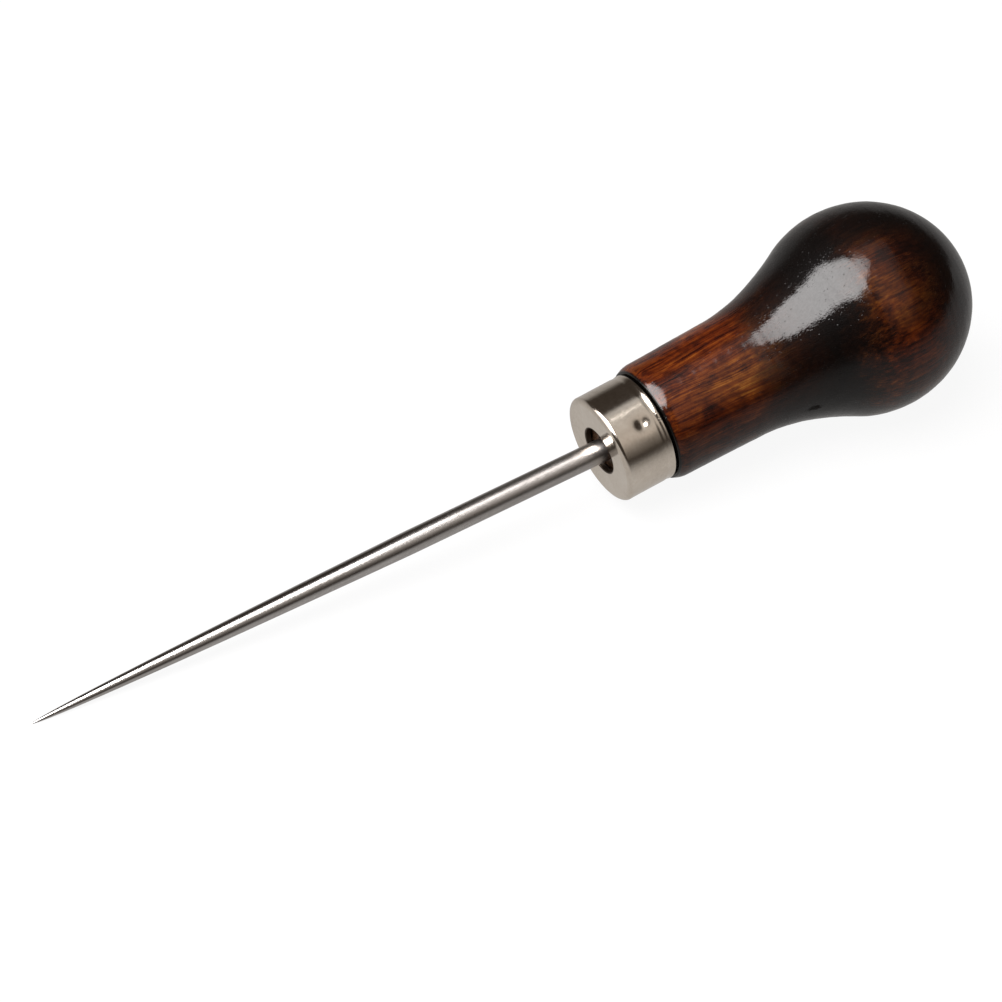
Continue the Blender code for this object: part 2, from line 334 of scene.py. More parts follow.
# ------------------------------------------------------------ ferrule
def build_ferrule():
    around = 460
    # steps gathered round the stake, where the surface turns fastest
    dense = np.linspace(-math.pi, math.pi, 20001)
    weight = 1.0 + 3.5 * np.exp(-((dense / 0.22) ** 2))
    run = np.concatenate([[0.0], np.cumsum(0.5 * (weight[1:] + weight[:-1]))])
    angles = np.interp(np.arange(around) / around * run[-1], run, dense) + STAKE_TURN
    inner = FERRULE_R - FERRULE_WALL
    lip, edge, rear, corner = FERRULE_LIP_R, FERRULE_EDGE_R, FERRULE_REAR_R, FERRULE_INNER_R
    profile = arc((FERRULE_HOLE_R + lip, -lip), lip, 180, 90, 8)
    profile += line((FERRULE_HOLE_R + lip, 0.0), (FERRULE_R - edge, 0.0), 16)[1:]
    # the drawn corner is a little quicker along the wall than across the face
    quick = 0.70 * edge
    profile += [(FERRULE_R - edge + edge * math.sin(t), -quick * (1 - math.cos(t))) for t in np.radians(np.linspace(5, 90, 18))]
    profile += line((FERRULE_R, -quick), (FERRULE_R, -FERRULE_LENGTH + rear), 94)[1:]
    outside_to = len(profile)
    profile += arc((FERRULE_R - rear, -FERRULE_LENGTH + rear), rear, 0, -90, 8)[1:]
    profile += line((FERRULE_R - rear, -FERRULE_LENGTH), (inner, -FERRULE_LENGTH), 5)[1:]
    inner_from = len(profile)
    profile += line((inner, -FERRULE_LENGTH), (inner, -FERRULE_WALL - corner), 40)[1:]
    inner_to = len(profile)
    profile += arc((inner - corner, -FERRULE_WALL - corner), corner, 0, 90, 6)[1:]
    profile += line((inner - corner, -FERRULE_WALL), (FERRULE_HOLE_R, -FERRULE_WALL), 10)[1:]
    profile += line((FERRULE_HOLE_R, -FERRULE_WALL), (FERRULE_HOLE_R, -lip), 8)[1:-1]
    rings = np.array([circle(r, z, angles) for r, z in profile])
    turn = (angles - STAKE_TURN + math.pi) % math.tau - math.pi
    nick = [(-6.4, 0.55, 0.050), (-3.6, 0.5, 0.062), (2.4, 0.4, 0.03)]
    for k in range(len(profile)):
        r, z = profile[k]
        if r < FERRULE_R - edge * 0.9:
            continue
        along = z + STAKE_AT
        across = turn * FERRULE_R
        far = np.hypot(along, across)
        sink = np.zeros(around)
        if k <= outside_to + 8:
            # the punch's own seat, the sheet drawn down round it, and a faint raised lip on one side
            sphere = STAKE_SINK - (STAKE_R - np.sqrt(np.maximum(STAKE_R**2 - np.minimum(far, STAKE_R) ** 2, 0.0)))
            soft = 0.12 * np.exp(-((far / 1.30) ** 2)) - 0.012 * np.exp(-(((far - 2.1) / 0.7) ** 2))
            core = 0.18 * np.exp(-((far / 0.76) ** 2.1))
            sink = core + soft
            # handling dings on the rear rim, and a slight waviness of the drawn wall
            wave = 0.010 * np.sin(2 * angles + 0.6) + 0.006 * np.sin(5 * angles + 2.0 + z * 0.35)
            wave += 0.004 * np.sin(9 * angles + 1.1 - z * 0.8)
            sink = sink + (wave + 0.020) * min(1.0, max(0.0, (-z) / 1.2))
            # the cut end is very slightly flared, and its edge polished
            sink = sink - 0.095 * smooth((-z - FERRULE_LENGTH + 0.85) / 0.60) + 0.05 * smooth((-z - 6.2) / 0.6)
            for at, width, deep in nick:
                a = turn - math.radians(at)
                sink = sink + deep * np.exp(-((a * FERRULE_R / (0.16 * width)) ** 2)) * math.exp(
                    -(((z + FERRULE_LENGTH) / 0.45) ** 2)
                )
        if inner_from - 1 <= k <= inner_to:
            fade = smooth((z + FERRULE_LENGTH) / 0.8) * smooth((-z - FERRULE_WALL - corner) / 0.4)
            deep = STAKE_R + 0.8 * FERRULE_WALL
            reach = FERRULE_R + STAKE_R - STAKE_SINK
            bump = inner - (reach - np.sqrt(np.maximum(deep**2 - np.minimum(far, deep) ** 2, 0.0)))
            sink = np.maximum(bump, 0.0) * float(fade)
        rings[k, :, 0] -= sink * np.cos(angles)
        rings[k, :, 1] -= sink * np.sin(angles)
    # the drawn face isn't dead flat: it dishes a little round the hole
    for k, (r, z) in enumerate(profile):
        if z > -0.2 and r <= FERRULE_R - edge:
            q = (r - FERRULE_HOLE_R) / (FERRULE_R - edge - FERRULE_HOLE_R)
            rings[k, :, 2] -= 0.06 * (1 - smooth(q)) + 0.008 * (1 + np.sin(3 * angles + 0.5))
    return outward(mesh_from_rings("ferrule_shell", rings, None, None, wrap=True))


# ------------------------------------------------------------ blade
def build_blade():
    around = 128
    angles = np.arange(around) * math.tau / around
    rings = []
    count = 260
    for k in range(1, count + 1):
        d = TAPER_LENGTH * (k / count) ** 1.9
        z = BLADE_EXPOSED - d
        # hand ground: the section is very slightly flattened here and there
        ease = min(1.0, d / 12.0)
        flat = 1.035 - 0.004 * ease * (1 + np.cos(2 * angles + 0.11 * z)) - 0.003 * ease * (
            1 + np.cos(3 * angles - 0.07 * z + 1.0)
        )
        x, y = section(taper_radius(d), 0.0, angles)
        rings.append(np.stack([x * flat, y * flat, np.full_like(x, z)], axis=-1) @ SEAT.T)
    z_from = BLADE_EXPOSED - TAPER_LENGTH
    for k in range(1, 61):
        z = z_from - k / 60 * (z_from + TANG_START - 0.3)
        flat = 1.035 - 0.003 * (1 + np.cos(2 * angles + 0.11 * z)) - 0.002 * (1 + np.cos(3 * angles - 0.07 * z + 1.0))
        x, y = section(SHANK_R, 0.0, angles)
        rings.append(np.stack([x * flat, y * flat, np.full_like(x, z)], axis=-1) @ SEAT.T)
    for z, half, square in tang_stations(0.0):
        rings.append(seat_ring(half, square, z, angles))
    rings.append(seat_ring(TANG_HALF_END * 0.8, 1.0, -TANG_END - 0.0, angles))
    # the blade sits a shade off the middle of its hole
    aside = np.array([-0.053, -0.060, 0.0])
    rings = np.array(rings) + aside
    tip = np.array([0.0, 0.0, BLADE_EXPOSED]) @ SEAT.T + aside
    end = np.array([0.0, 0.0, -TANG_END - 0.0]) @ SEAT.T + aside
    made = outward(mesh_from_rings("blade_steel", rings, tip, end))
    # u runs along the blade and v round it, which gives the direction of the grinding marks
    mesh = made.data
    total = rings.shape[0] * around
    along = np.concatenate([np.repeat(np.arange(rings.shape[0]), around), [-1, rings.shape[0]]]).astype(float)
    round_ = np.concatenate([np.tile(np.arange(around), rings.shape[0]), [0, 0]]).astype(float)
    where = np.concatenate([rings.reshape(-1, 3)[:, 2], [BLADE_EXPOSED, -TANG_END - 1]])
    layer = mesh.uv_layers.new(name="grinding")
    corners = np.empty(len(mesh.loops), np.int32)
    mesh.loops.foreach_get("vertex_index", corners)
    starts = np.empty(len(mesh.polygons), np.int32)
    mesh.polygons.foreach_get("loop_start", starts)
    sizes = np.empty(len(mesh.polygons), np.int32)
    mesh.polygons.foreach_get("loop_total", sizes)
    owner = np.repeat(np.arange(len(starts)), sizes)
    v = round_[corners] / around
    high = np.zeros(len(starts))
    np.maximum.at(high, owner, v)
    v = np.where((high[owner] > 0.9) & (v < 0.1), v + 1.0, v)
    uv = np.stack([where[corners] / 130.0 + 0.32, v], axis=-1)
    layer.data.foreach_set("uv", uv.astype(np.float32).ravel())
    return made


# ------------------------------------------------------------ node helpers
class Nodes:
    """Short hands for building a material's node tree."""

    def __init__(self, name):
        self.material = bpy.data.materials.new(name)
        self.material.use_nodes = True
        self.tree = self.material.node_tree
        self.tree.nodes.clear()
        self.out = self.tree.nodes.new("ShaderNodeOutputMaterial")
        self.count = 0

    def add(self, kind, **props):
        node = self.tree.nodes.new(kind)
        self.count += 1
        node.location = (-200 * (self.count % 12), -180 * (self.count // 12))
        for key, value in props.items():
            setattr(node, key, value)
        return node

    def put(self, socket, value):
        if isinstance(value, bpy.types.NodeSocket):
            self.tree.links.new(value, socket)
        elif value is not None:
            socket.default_value = value

    def math(self, op, a, b=None, c=None, clamp=False):
        node = self.add("ShaderNodeMath", operation=op, use_clamp=clamp)
        for socket, value in zip(node.inputs, (a, b, c)):
            self.put(socket, value)
        return node.outputs[0]

    def vmath(self, op, a, b=None, scale=None):
        node = self.add("ShaderNodeVectorMath", operation=op)
        self.put(node.inputs[0], a)
        self.put(node.inputs[1], b)
        if scale is not None:
            self.put(node.inputs["Scale"], scale)
        return node.outputs["Value"] if op in ("LENGTH", "DOT_PRODUCT", "DISTANCE") else node.outputs[0]

    def mapped(self, vector, scale=(1, 1, 1), shift=(0, 0, 0), turn=(0, 0, 0)):
        node = self.add("ShaderNodeMapping")
        self.put(node.inputs["Vector"], vector)
        node.inputs["Scale"].default_value = scale
        node.inputs["Location"].default_value = shift
        node.inputs["Rotation"].default_value = turn
        return node.outputs[0]

    def noise(self, vector, scale, detail=3.0, rough=0.5, distort=0.0, colour=False):
        node = self.add("ShaderNodeTexNoise")
        self.put(node.inputs["Vector"], vector)
        node.inputs["Scale"].default_value = scale
        node.inputs["Detail"].default_value = detail
        node.inputs["Roughness"].default_value = rough
        node.inputs["Distortion"].default_value = distort
        return node.outputs["Color" if colour else "Fac"]

    def voronoi(self, vector, scale, feature="F1", out="Distance"):
        node = self.add("ShaderNodeTexVoronoi", feature=feature)
        self.put(node.inputs["Vector"], vector)
        node.inputs["Scale"].default_value = scale
        return node.outputs[out]

    def ramp(self, value, stops, mode="LINEAR"):
        node = self.add("ShaderNodeValToRGB")
        node.color_ramp.interpolation = mode
        elements = node.color_ramp.elements
        while len(elements) > 1:
            elements.remove(elements[-1])
        for k, (at, colour) in enumerate(stops):
            element = elements[0] if k == 0 else elements.new(at)
            element.position = at
            element.color = (*colour, 1.0) if hasattr(colour, "__len__") else (colour, colour, colour, 1.0)
        self.put(node.inputs[0], value)
        return node.outputs[0]

    def range(self, value, a, b, c=0.0, d=1.0, smooth=True):
        node = self.add("ShaderNodeMapRange", interpolation_type="SMOOTHSTEP" if smooth else "LINEAR")
        self.put(node.inputs["Value"], value)
        node.inputs["From Min"].default_value = a
        node.inputs["From Max"].default_value = b
        node.inputs["To Min"].default_value = c
        node.inputs["To Max"].default_value = d
        return node.outputs[0]

    def mix(self, factor, a, b, blend="MIX"):
        node = self.add("ShaderNodeMix", data_type="RGBA", blend_type=blend)
        self.put(node.inputs[0], factor)
        self.put(node.inputs[6], (*a, 1.0) if isinstance(a, tuple) else a)
        self.put(node.inputs[7], (*b, 1.0) if isinstance(b, tuple) else b)
        return node.outputs[2]

    def bump(self, height, strength, distance, normal=None):
        node = self.add("ShaderNodeBump")
        node.inputs["Strength"].default_value = strength
        node.inputs["Distance"].default_value = distance
        self.put(node.inputs["Height"], height)
        if normal is not None:
            self.put(node.inputs["Normal"], normal)
        return node.outputs[0]

    def surface(self, **sockets):
        node = self.add("ShaderNodeBsdfPrincipled")
        for key, value in sockets.items():
            name = key.replace("_", " ")
            self.put(node.inputs[name], (*value, 1.0) if isinstance(value, tuple) and len(value) == 3 and "Color" in name else value)
        self.tree.links.new(node.outputs[0], self.out.inputs[0])
        return node


def place(n):
    """Coordinates in the tool's own frame, in mm."""
    node = n.add("ShaderNodeAttribute", attribute_type="GEOMETRY", attribute_name="tool_mm")
    return node.outputs["Vector"]


# ------------------------------------------------------------ finishes
def wood_finish():
    n = Nodes("lacquered_hardwood")
    p = place(n)
    split = n.add("ShaderNodeSeparateXYZ")
    n.put(split.inputs[0], p)
    x, y, z = split.outputs
    depth = n.math("SUBTRACT", n.math("MULTIPLY", z, -1.0), SHOULDER_FACE)  # behind the shoulder

    # slow wandering of the grain along the piece
    wander = n.noise(n.mapped(p, (0.10, 0.10, 0.030), (3.1, 7.7, 1.3)), 1.0, 2.0, 0.5, 0.0, True)
    shift = n.vmath("SCALE", n.vmath("SUBTRACT", wander, (0.5, 0.5, 0.5)), scale=4.0)
    q = n.vmath("ADD", p, shift)

    # broad bands of harder and softer wood, lying along the piece
    band = n.noise(n.mapped(q, (0.30, 0.30, 0.012), (5.0, 2.0, 0.0)), 1.0, 2.0, 0.5)
    # fibres: long and thin, in two sizes, and the darker lines between the growth rings
    line_1 = n.noise(n.mapped(q, (2.1, 2.1, 0.034)), 1.0, 3.0, 0.62)
    line_2 = n.noise(n.mapped(q, (4.6, 4.6, 0.10), (5.0, 1.0, 2.0)), 1.0, 3.0, 0.62)
    ring = n.noise(n.mapped(q, (2.5, 2.5, 0.026), (9.0, 4.0, 1.0)), 1.0, 1.0, 0.4)
    ring = n.range(n.math("ABSOLUTE", n.math("SUBTRACT", ring, 0.5)), 0.055, 0.010)
    # open pores: short dark dashes along the grain
    pore_field = n.voronoi(n.mapped(q, (4.4, 4.4, 0.36)), 1.0)
    pore_thin = n.noise(n.mapped(q, (0.45, 0.45, 0.07), (2.0, 8.0, 4.0)), 1.0, 2.0)
    pore = n.math("MULTIPLY", n.range(pore_field, 0.22, 0.06), n.range(pore_thin, 0.42, 0.60))
    # cloudy figure where the stain has taken unevenly
    cloud = n.noise(n.mapped(p, (0.22, 0.22, 0.15), (7.0, 2.0, 3.0)), 1.0, 4.0, 0.60, 0.6)
    mottle = n.noise(n.mapped(p, (0.75, 0.75, 0.50), (4.0, 4.0, 4.0)), 1.0, 4.0, 0.66)

    tone = n.math("MULTIPLY_ADD", n.range(line_1, 0.30, 0.70, 0.0, 1.0, False), 0.46, n.math("MULTIPLY", n.range(line_2, 0.30, 0.70, 0.0, 1.0, False), 0.34))
    tone = n.math("MULTIPLY_ADD", n.range(mottle, 0.32, 0.68, -1.0, 1.0, False), 0.10, tone)
    tone = n.math("MULTIPLY_ADD", n.range(cloud, 0.32, 0.68, -1.0, 1.0, False), 0.15, tone)
    tone = n.math("MULTIPLY_ADD", n.range(band, 0.30, 0.70, -1.0, 1.0, False), 0.12, tone)
    base = n.ramp(
        tone,
        [
            (0.06, (0.0100, 0.0012, 0.0002)),
            (0.26, (0.0320, 0.0048, 0.0006)),
            (0.44, (0.0660, 0.0128, 0.0013)),
            (0.62, (0.1030, 0.0260, 0.0028)),
            (0.86, (0.1650, 0.0560, 0.0080)),
        ],
    )
    # reddish patches at random; along the grip a lighter golden band (painted light) and a darker band beside it
    # towards the underside (painted shade)
    across = n.math("MULTIPLY_ADD", x, 0.682, n.math("MULTIPLY", y, 0.731))
    across = n.math("ADD", across, n.range(cloud, 0.3, 0.7, -1.6, 1.6, False))
    # painted light: a lighter golden band lengthways along the grip's sides
    painted_light_band = n.math("MULTIPLY", n.range(across, -3.4, -0.6), n.range(across, 4.2, 1.2))
    painted_light_band = n.math("MULTIPLY", painted_light_band, n.range(depth, 24.0, 16.0, 0.30, 1.0))
    # painted shade: a darker band beside the golden one, towards the underside
    painted_shade_band = n.math("MULTIPLY", n.range(across, -0.8, -3.6), n.range(across, -7.2, -4.4))
    painted_shade_band = n.math("MULTIPLY", painted_shade_band, n.range(depth, 26.0, 18.0))
    red = n.range(n.noise(n.mapped(p, (0.16, 0.16, 0.06), (1.0, 9.0, 5.0)), 1.0, 2.0), 0.40, 0.62)
    base = n.mix(n.math("MULTIPLY", red, 0.40), base, n.mix(1.0, base, (1.10, 0.66, 0.45), "MULTIPLY"))
    base = n.mix(n.math("MULTIPLY", painted_light_band, 0.75), base, n.mix(1.0, base, (1.20, 1.50, 1.70), "MULTIPLY"))
    base = n.mix(n.math("MULTIPLY", painted_shade_band, 0.85), base, n.mix(1.0, base, (0.50, 0.42, 0.60), "MULTIPLY"))
    base = n.mix(n.math("MULTIPLY", ring, n.range(depth, 22.0, 30.0, 0.58, 0.30)), base, n.mix(1.0, base, (0.36, 0.22, 0.22), "MULTIPLY"))
    base = n.mix(n.math("MULTIPLY", pore, n.range(depth, 22.0, 30.0, 0.65, 0.40)), base, (0.0050, 0.0012, 0.0005))

    # stain: how dark the piece is along its length, its edges broken by the grain
    broken = n.math("MULTIPLY_ADD", n.range(cloud, 0.32, 0.68, -1.0, 1.0, False), 1.5, n.math("MULTIPLY", n.range(line_1, 0.3, 0.7, -1.0, 1.0, False), 0.8))
    broken = n.math("ADD", broken, n.math("MULTIPLY", n.range(mottle, 0.3, 0.7, -1.0, 1.0, False), 0.5))
    broken = n.math("MULTIPLY", broken, n.range(depth, 22.0, 30.0, 1.0, 0.72))
    # the paler patch on the bulb is wider below than above
    wide = n.math("MULTIPLY", n.math("SUBTRACT", x, 6.0), n.range(depth, 31.5, 37.5, -0.17, 0.20))
    at = n.math("DIVIDE", n.math("ADD", n.math("ADD", depth, broken), wide), 60.0)
    k = lambda mm: mm / 60.0
    dark = n.ramp(
        at,
        [
            (k(0.0), 0.0),
            (k(12.0), 0.05),
            (k(15.2), 0.26),
            (k(17.6), 0.70),
            (k(19.5), 0.88),
            (k(23.0), 0.955),
            (k(26.5), 0.998),
            (k(29.2), 0.975),
            (k(31.4), 0.85),
            (k(33.7), 0.56),
            (k(36.0), 0.43),
            (k(38.5), 0.54),
            (k(40.5), 0.72),
            (k(43.0), 0.88),
            (k(46.0), 0.97),
            (k(50.0), 0.99),
        ],
    )
    # a dark run along the upper side of the bulb
    run = n.math("MULTIPLY", n.range(n.math("ADD", y, n.range(cloud, 0.3, 0.7, -0.9, 0.9, False)), -5.6, 0.4), n.range(y, 14.0, 9.5))
    run = n.math("MULTIPLY", run, n.range(depth, 21.0, 30.0))
    # the underside of the bulb is kept lighter: painted light, as if thrown up from the floor below
    painted_underside_light = n.math("MULTIPLY_ADD", n.math("MULTIPLY", n.range(x, 8.5, 1.5), n.range(depth, 27.0, 32.0)), 1.0, 1.0)
    left = n.math("MULTIPLY", n.math("SUBTRACT", 1.0, dark), n.math("MULTIPLY_ADD", run, -0.94, 1.0))
    # cloudy patches inside the stained zones
    patch = n.range(mottle, 0.34, 0.66, 0.70, 1.30, False)
    left = n.math("MULTIPLY", n.math("MULTIPLY", left, painted_underside_light), n.math("MAXIMUM", patch, 0.2), clamp=True)
    stained = n.mix(left, (0.0011, 0.0006, 0.0005), base)
    # the turned shoulder is burnt black
    burnt = n.range(depth, 0.42, 0.12)
    stained = n.mix(burnt, stained, (0.0014, 0.0009, 0.0006))
    # bare end grain inside the ferrule
    end_dots = n.voronoi(n.mapped(p, (3.2, 3.2, 0.0)), 1.0)
    end_tone = n.math("ADD", n.math("MULTIPLY", n.range(end_dots, 0.1, 0.5), 0.5), n.math("MULTIPLY", line_2, 0.6))
    end_grain = n.ramp(end_tone, [(0.2, (0.009, 0.0045, 0.0025)), (0.55, (0.048, 0.024, 0.013)), (0.9, (0.115, 0.066, 0.040))])
    inside = n.range(depth, -0.1, -0.6)
    colour = n.mix(inside, stained, end_grain)

    # relief under and in the lacquer
    relief = n.math("MULTIPLY_ADD", line_1, 0.4, n.math("MULTIPLY", line_2, 0.4))
    relief = n.math("SUBTRACT", relief, n.math("MULTIPLY", pore, 0.8))
    under = n.bump(relief, 0.5, 0.00010)
    orange = n.noise(n.mapped(p, (1.15, 1.15, 0.85), (8.0, 2.0, 6.0)), 1.0, 2.0, 0.5)
    grit = n.noise(n.mapped(p, (4.2, 4.2, 3.2), (1.0, 2.0, 6.0)), 1.0, 2.0, 0.55)
    pits = n.range(n.voronoi(n.mapped(p, (1.5, 1.5, 0.9), (2.0, 3.0, 1.0)), 1.0), 0.15, 0.05)
    skin = n.math("MULTIPLY_ADD", orange, 0.36, n.math("MULTIPLY", line_2, 0.24))
    skin = n.math("MULTIPLY_ADD", grit, 0.27, skin)
    skin = n.math("SUBTRACT", skin, n.math("MULTIPLY", pits, 0.50))
    skin = n.math("SUBTRACT", skin, n.math("MULTIPLY", pore, 0.22))
    coat = n.bump(skin, 0.6, 0.00006)
    # one small chip in the lacquer, below the dark band
    spot = n.vmath("SUBTRACT", p, (-2.4, -10.7, -29.6))
    ragged = n.math("MULTIPLY", n.math("SUBTRACT", grit, 0.5), 2.4)
    chip = n.range(n.math("ADD", n.vmath("LENGTH", n.mapped(spot, (1.9, 0.4, 1.05), (0, 0, 0), (0, 0.35, 0))), ragged), 1.35, 0.60)

    n.surface(
        Base_Color=colour,
        Roughness=n.range(line_1, 0.3, 0.7, 0.45, 0.62, False),
        IOR=1.45,
        Specular_IOR_Level=0.05,
        Coat_Weight=n.math("MULTIPLY_ADD", chip, -0.55, n.range(grit, 0.32, 0.68, 0.575, 0.665, False)),
        Coat_Roughness=0.035,
        Coat_IOR=1.5,
        Normal=under,
        Coat_Normal=coat,
    )
    return n.material


def nickel_finish():
    n = Nodes("nickel_plate")
    p = place(n)
    split = n.add("ShaderNodeSeparateXYZ")
    n.put(split.inputs[0], p)
    x, y, z = split.outputs
    radius = n.vmath("LENGTH", n.mapped(p, (1.0, 1.0, 0.0)))
    cloud = n.noise(n.mapped(p, (0.22, 0.22, 0.30), (1.0, 2.0, 3.0)), 1.0, 4.0, 0.6, 0.4)
    speck = n.noise(n.mapped(p, (2.2, 2.2, 2.2), (6.0, 1.0, 4.0)), 1.0, 3.0, 0.65)
    grain = n.noise(n.mapped(p, (14.0, 14.0, 14.0)), 1.0, 2.0, 0.6)
    tone = n.math("MULTIPLY_ADD", cloud, 0.6, n.math("MULTIPLY", speck, 0.4))
    colour = n.ramp(
        tone,
        [
            (0.30, (0.68, 0.605, 0.515)),
            (0.50, (0.79, 0.710, 0.615)),
            (0.70, (0.85, 0.780, 0.690)),
        ],
    )
    dent = n.vmath("LENGTH", n.vmath("SUBTRACT", p, (6.39, -4.81, -4.80)))
    # darker and rougher round the lip of the hole and inside the tube behind the front wall
    inner = n.range(radius, 3.72, 3.56)
    tube = n.math("MULTIPLY", n.range(radius, 7.35, 7.20), n.range(z, -0.85, -0.95))
    lip_and_tube_darkening = n.math("MAXIMUM", inner, tube)
    colour = n.mix(n.math("MULTIPLY", lip_and_tube_darkening, 0.92), colour, (0.050, 0.034, 0.023))
    rough = n.range(n.math("MULTIPLY_ADD", speck, 0.6, n.math("MULTIPLY", cloud, 0.4)), 0.3, 0.7, 0.10, 0.15, False)
    rough = n.math("MULTIPLY_ADD", lip_and_tube_darkening, 0.35, rough)
    rough = n.math("ADD", rough, n.range(dent, 1.15, 0.35, 0.0, 0.10))  # the punch left the dent matt
    scratch = n.noise(n.mapped(p, (0.8, 0.8, 7.0), (0.0, 3.0, 1.0), (0.3, 0.2, 0.0)), 1.0, 3.0, 0.7)
    height = n.math("MULTIPLY_ADD", grain, 0.4, n.math("MULTIPLY", speck, 0.5))
    height = n.math("MULTIPLY_ADD", scratch, 0.2, height)
    n.surface(
        Base_Color=colour,
        Metallic=1.0,
        Roughness=rough,
        Normal=n.bump(height, 0.35, 0.000025),
    )
    return n.material


def steel_finish():
    n = Nodes("ground_steel")
    p = place(n)
    streak = n.noise(n.mapped(p, (2.6, 2.6, 0.05), (1.0, 2.0, 3.0)), 1.0, 4.0, 0.6)
    turn = n.noise(n.mapped(p, (0.35, 0.35, 5.5), (3.0, 1.0, 2.0)), 1.0, 4.0, 0.7)
    speck = n.noise(n.mapped(p, (3.0, 3.0, 1.4), (6.0, 1.0, 4.0)), 1.0, 3.0, 0.65)
    tone = n.math("MULTIPLY_ADD", streak, 0.6, n.math("MULTIPLY", speck, 0.4))
    colour = n.ramp(
        tone,
        [
            (0.30, (0.42, 0.40, 0.385)),
            (0.50, (0.55, 0.528, 0.512)),
            (0.70, (0.63, 0.612, 0.598)),
        ],
    )
    rough = n.range(speck, 0.3, 0.7, -0.025, 0.025, False)
    split = n.add("ShaderNodeSeparateXYZ")
    n.put(split.inputs[0], p)
    # rougher near the handle, and the colour darkened there: painted shade that dims the reflection near the handle
    rough = n.math("ADD", rough, n.range(split.outputs[2], 34.0, 8.0, 0.255, 0.325))
    # painted shade: darker steel near the handle
    colour = n.mix(n.range(split.outputs[2], 32.0, 12.0), colour, n.mix(1.0, colour, (0.88, 0.87, 0.86), "MULTIPLY"))
    height = n.math("MULTIPLY_ADD", turn, 0.25, n.math("MULTIPLY", streak, 0.25))
    n.surface(
        Base_Color=colour,
        Metallic=1.0,
        Roughness=rough,
        Anisotropic=n.range(split.outputs[2], 42.0, 12.0, 0.86, 0.38),
        Anisotropic_Rotation=0.955,
        Tangent=n.add("ShaderNodeTangent", direction_type="UV_MAP", uv_map="grinding").outputs[0],
        Normal=n.bump(height, 0.2, 0.00002),
    )
    return n.material


# ------------------------------------------------------------ assembly
def settle(obj, finish, node):
    obj.data.materials.clear()
    obj.data.materials.append(finish)
    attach(obj, "root")
    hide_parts(node)
    return obj


handle = settle(build_handle(), wood_finish(), "handle")
ferrule = settle(build_ferrule(), nickel_finish(), "ferrule")
blade = settle(build_blade(), steel_finish(), "blade")


# ------------------------------------------------------------ stage: floor, light, camera
def glow_card(name, corners, origin, upward, falloff, colour):
    """A luminous panel, brightest low down, which lights and reflects but isn't itself in view."""
    mesh = bpy.data.meshes.new(name)
    mesh.from_pydata([tuple(c) for c in corners], [], [list(range(len(corners)))])
    card = bpy.data.objects.new(name, mesh)
    bpy.context.scene.collection.objects.link(card)
    n = Nodes(name + "_glow")
    glow = n.add("ShaderNodeEmission")
    glow.inputs["Color"].default_value = (*colour, 1.0)
    spot = n.vmath("SUBTRACT", n.add("ShaderNodeNewGeometry").outputs["Position"], tuple(origin))
    height = n.math("MULTIPLY_ADD", n.vmath("DOT_PRODUCT", spot, tuple(upward)), 1.0 / 2.4, 1.5 / 2.4)
    top = max(v for _, v in falloff)
    bright = n.ramp(height, [((h + 1.5) / 2.4, v / top) for h, v in falloff])
    n.put(glow.inputs["Strength"], n.math("MULTIPLY", bright, top))
    n.tree.links.new(glow.outputs[0], n.out.inputs[0])
    mesh.materials.append(n.material)
    card.visible_camera = False
    card.visible_shadow = False
    return card


# the key: a big softbox behind and to the left, its long side towards the floor
KEY_AZ, KEY_EL, KEY_FAR = math.radians(171.5), math.radians(58.5), 1.1
KEY_FROM = Vector((0.045, 0.0, 0.020))
key_way = Vector((math.cos(KEY_EL) * math.cos(KEY_AZ), math.cos(KEY_EL) * math.sin(KEY_AZ), math.sin(KEY_EL)))
key_right = Vector((0, 0, 1)).cross(key_way).normalized()
key_up = key_way.cross(key_right)
KEY_OUTLINE = [
    (-0.10, 0.89), (0.01, 0.75), (0.12, 0.67), (0.26, 0.60), (0.51, 0.40), (0.59, 0.15), (0.47, -0.04), (0.12, -1.40), (-1.05, -1.38),
    (-0.49, -0.08), (-0.35, 0.22), (-0.22, 0.50), (-0.16, 0.66),
]
glow_card(
    "softbox_key",
    [KEY_FROM + KEY_FAR * (key_way + u * key_right + v * key_up) for u, v in KEY_OUTLINE],
    KEY_FROM,
    key_up / KEY_FAR,
    [
        (-1.40, 1.0), (-0.60, 1.8), (-0.25, 6.0), (-0.06, 13.8), (0.20, 13.0), (0.42, 10.8), (0.56, 8.0), (0.65, 5.6),
        (0.75, 3.9), (0.82, 1.7), (0.89, 1.0),
    ],
    (1.0, 0.972, 0.965),
)


# floor: pale paper lit evenly; what polished metal sees below the horizon comes from the room's own shading
floor_mesh = bpy.data.meshes.new("floor")
floor_mesh.from_pydata([(-3, -3, 0), (3, -3, 0), (3, 3, 0), (-3, 3, 0)], [], [(0, 1, 2, 3)])
floor = bpy.data.objects.new("floor", floor_mesh)
floor.location.z = -0.00005
bpy.context.scene.collection.objects.link(floor)
fn = Nodes("floor_paper")
paper = fn.add("ShaderNodeBsdfDiffuse")
paper.inputs["Color"].default_value = (0.048, 0.048, 0.048, 1.0)
lit = fn.add("ShaderNodeEmission")
lit.inputs["Strength"].default_value = 0.925
seen = fn.add("ShaderNodeAddShader")
fn.tree.links.new(paper.outputs[0], seen.inputs[0])
fn.tree.links.new(lit.outputs[0], seen.inputs[1])
fn.tree.links.new(seen.outputs[0], fn.out.inputs[0])
fn.material.cycles.emission_sampling = "NONE"
floor_mesh.materials.append(fn.material)
floor.visible_glossy = False
floor.visible_diffuse = False

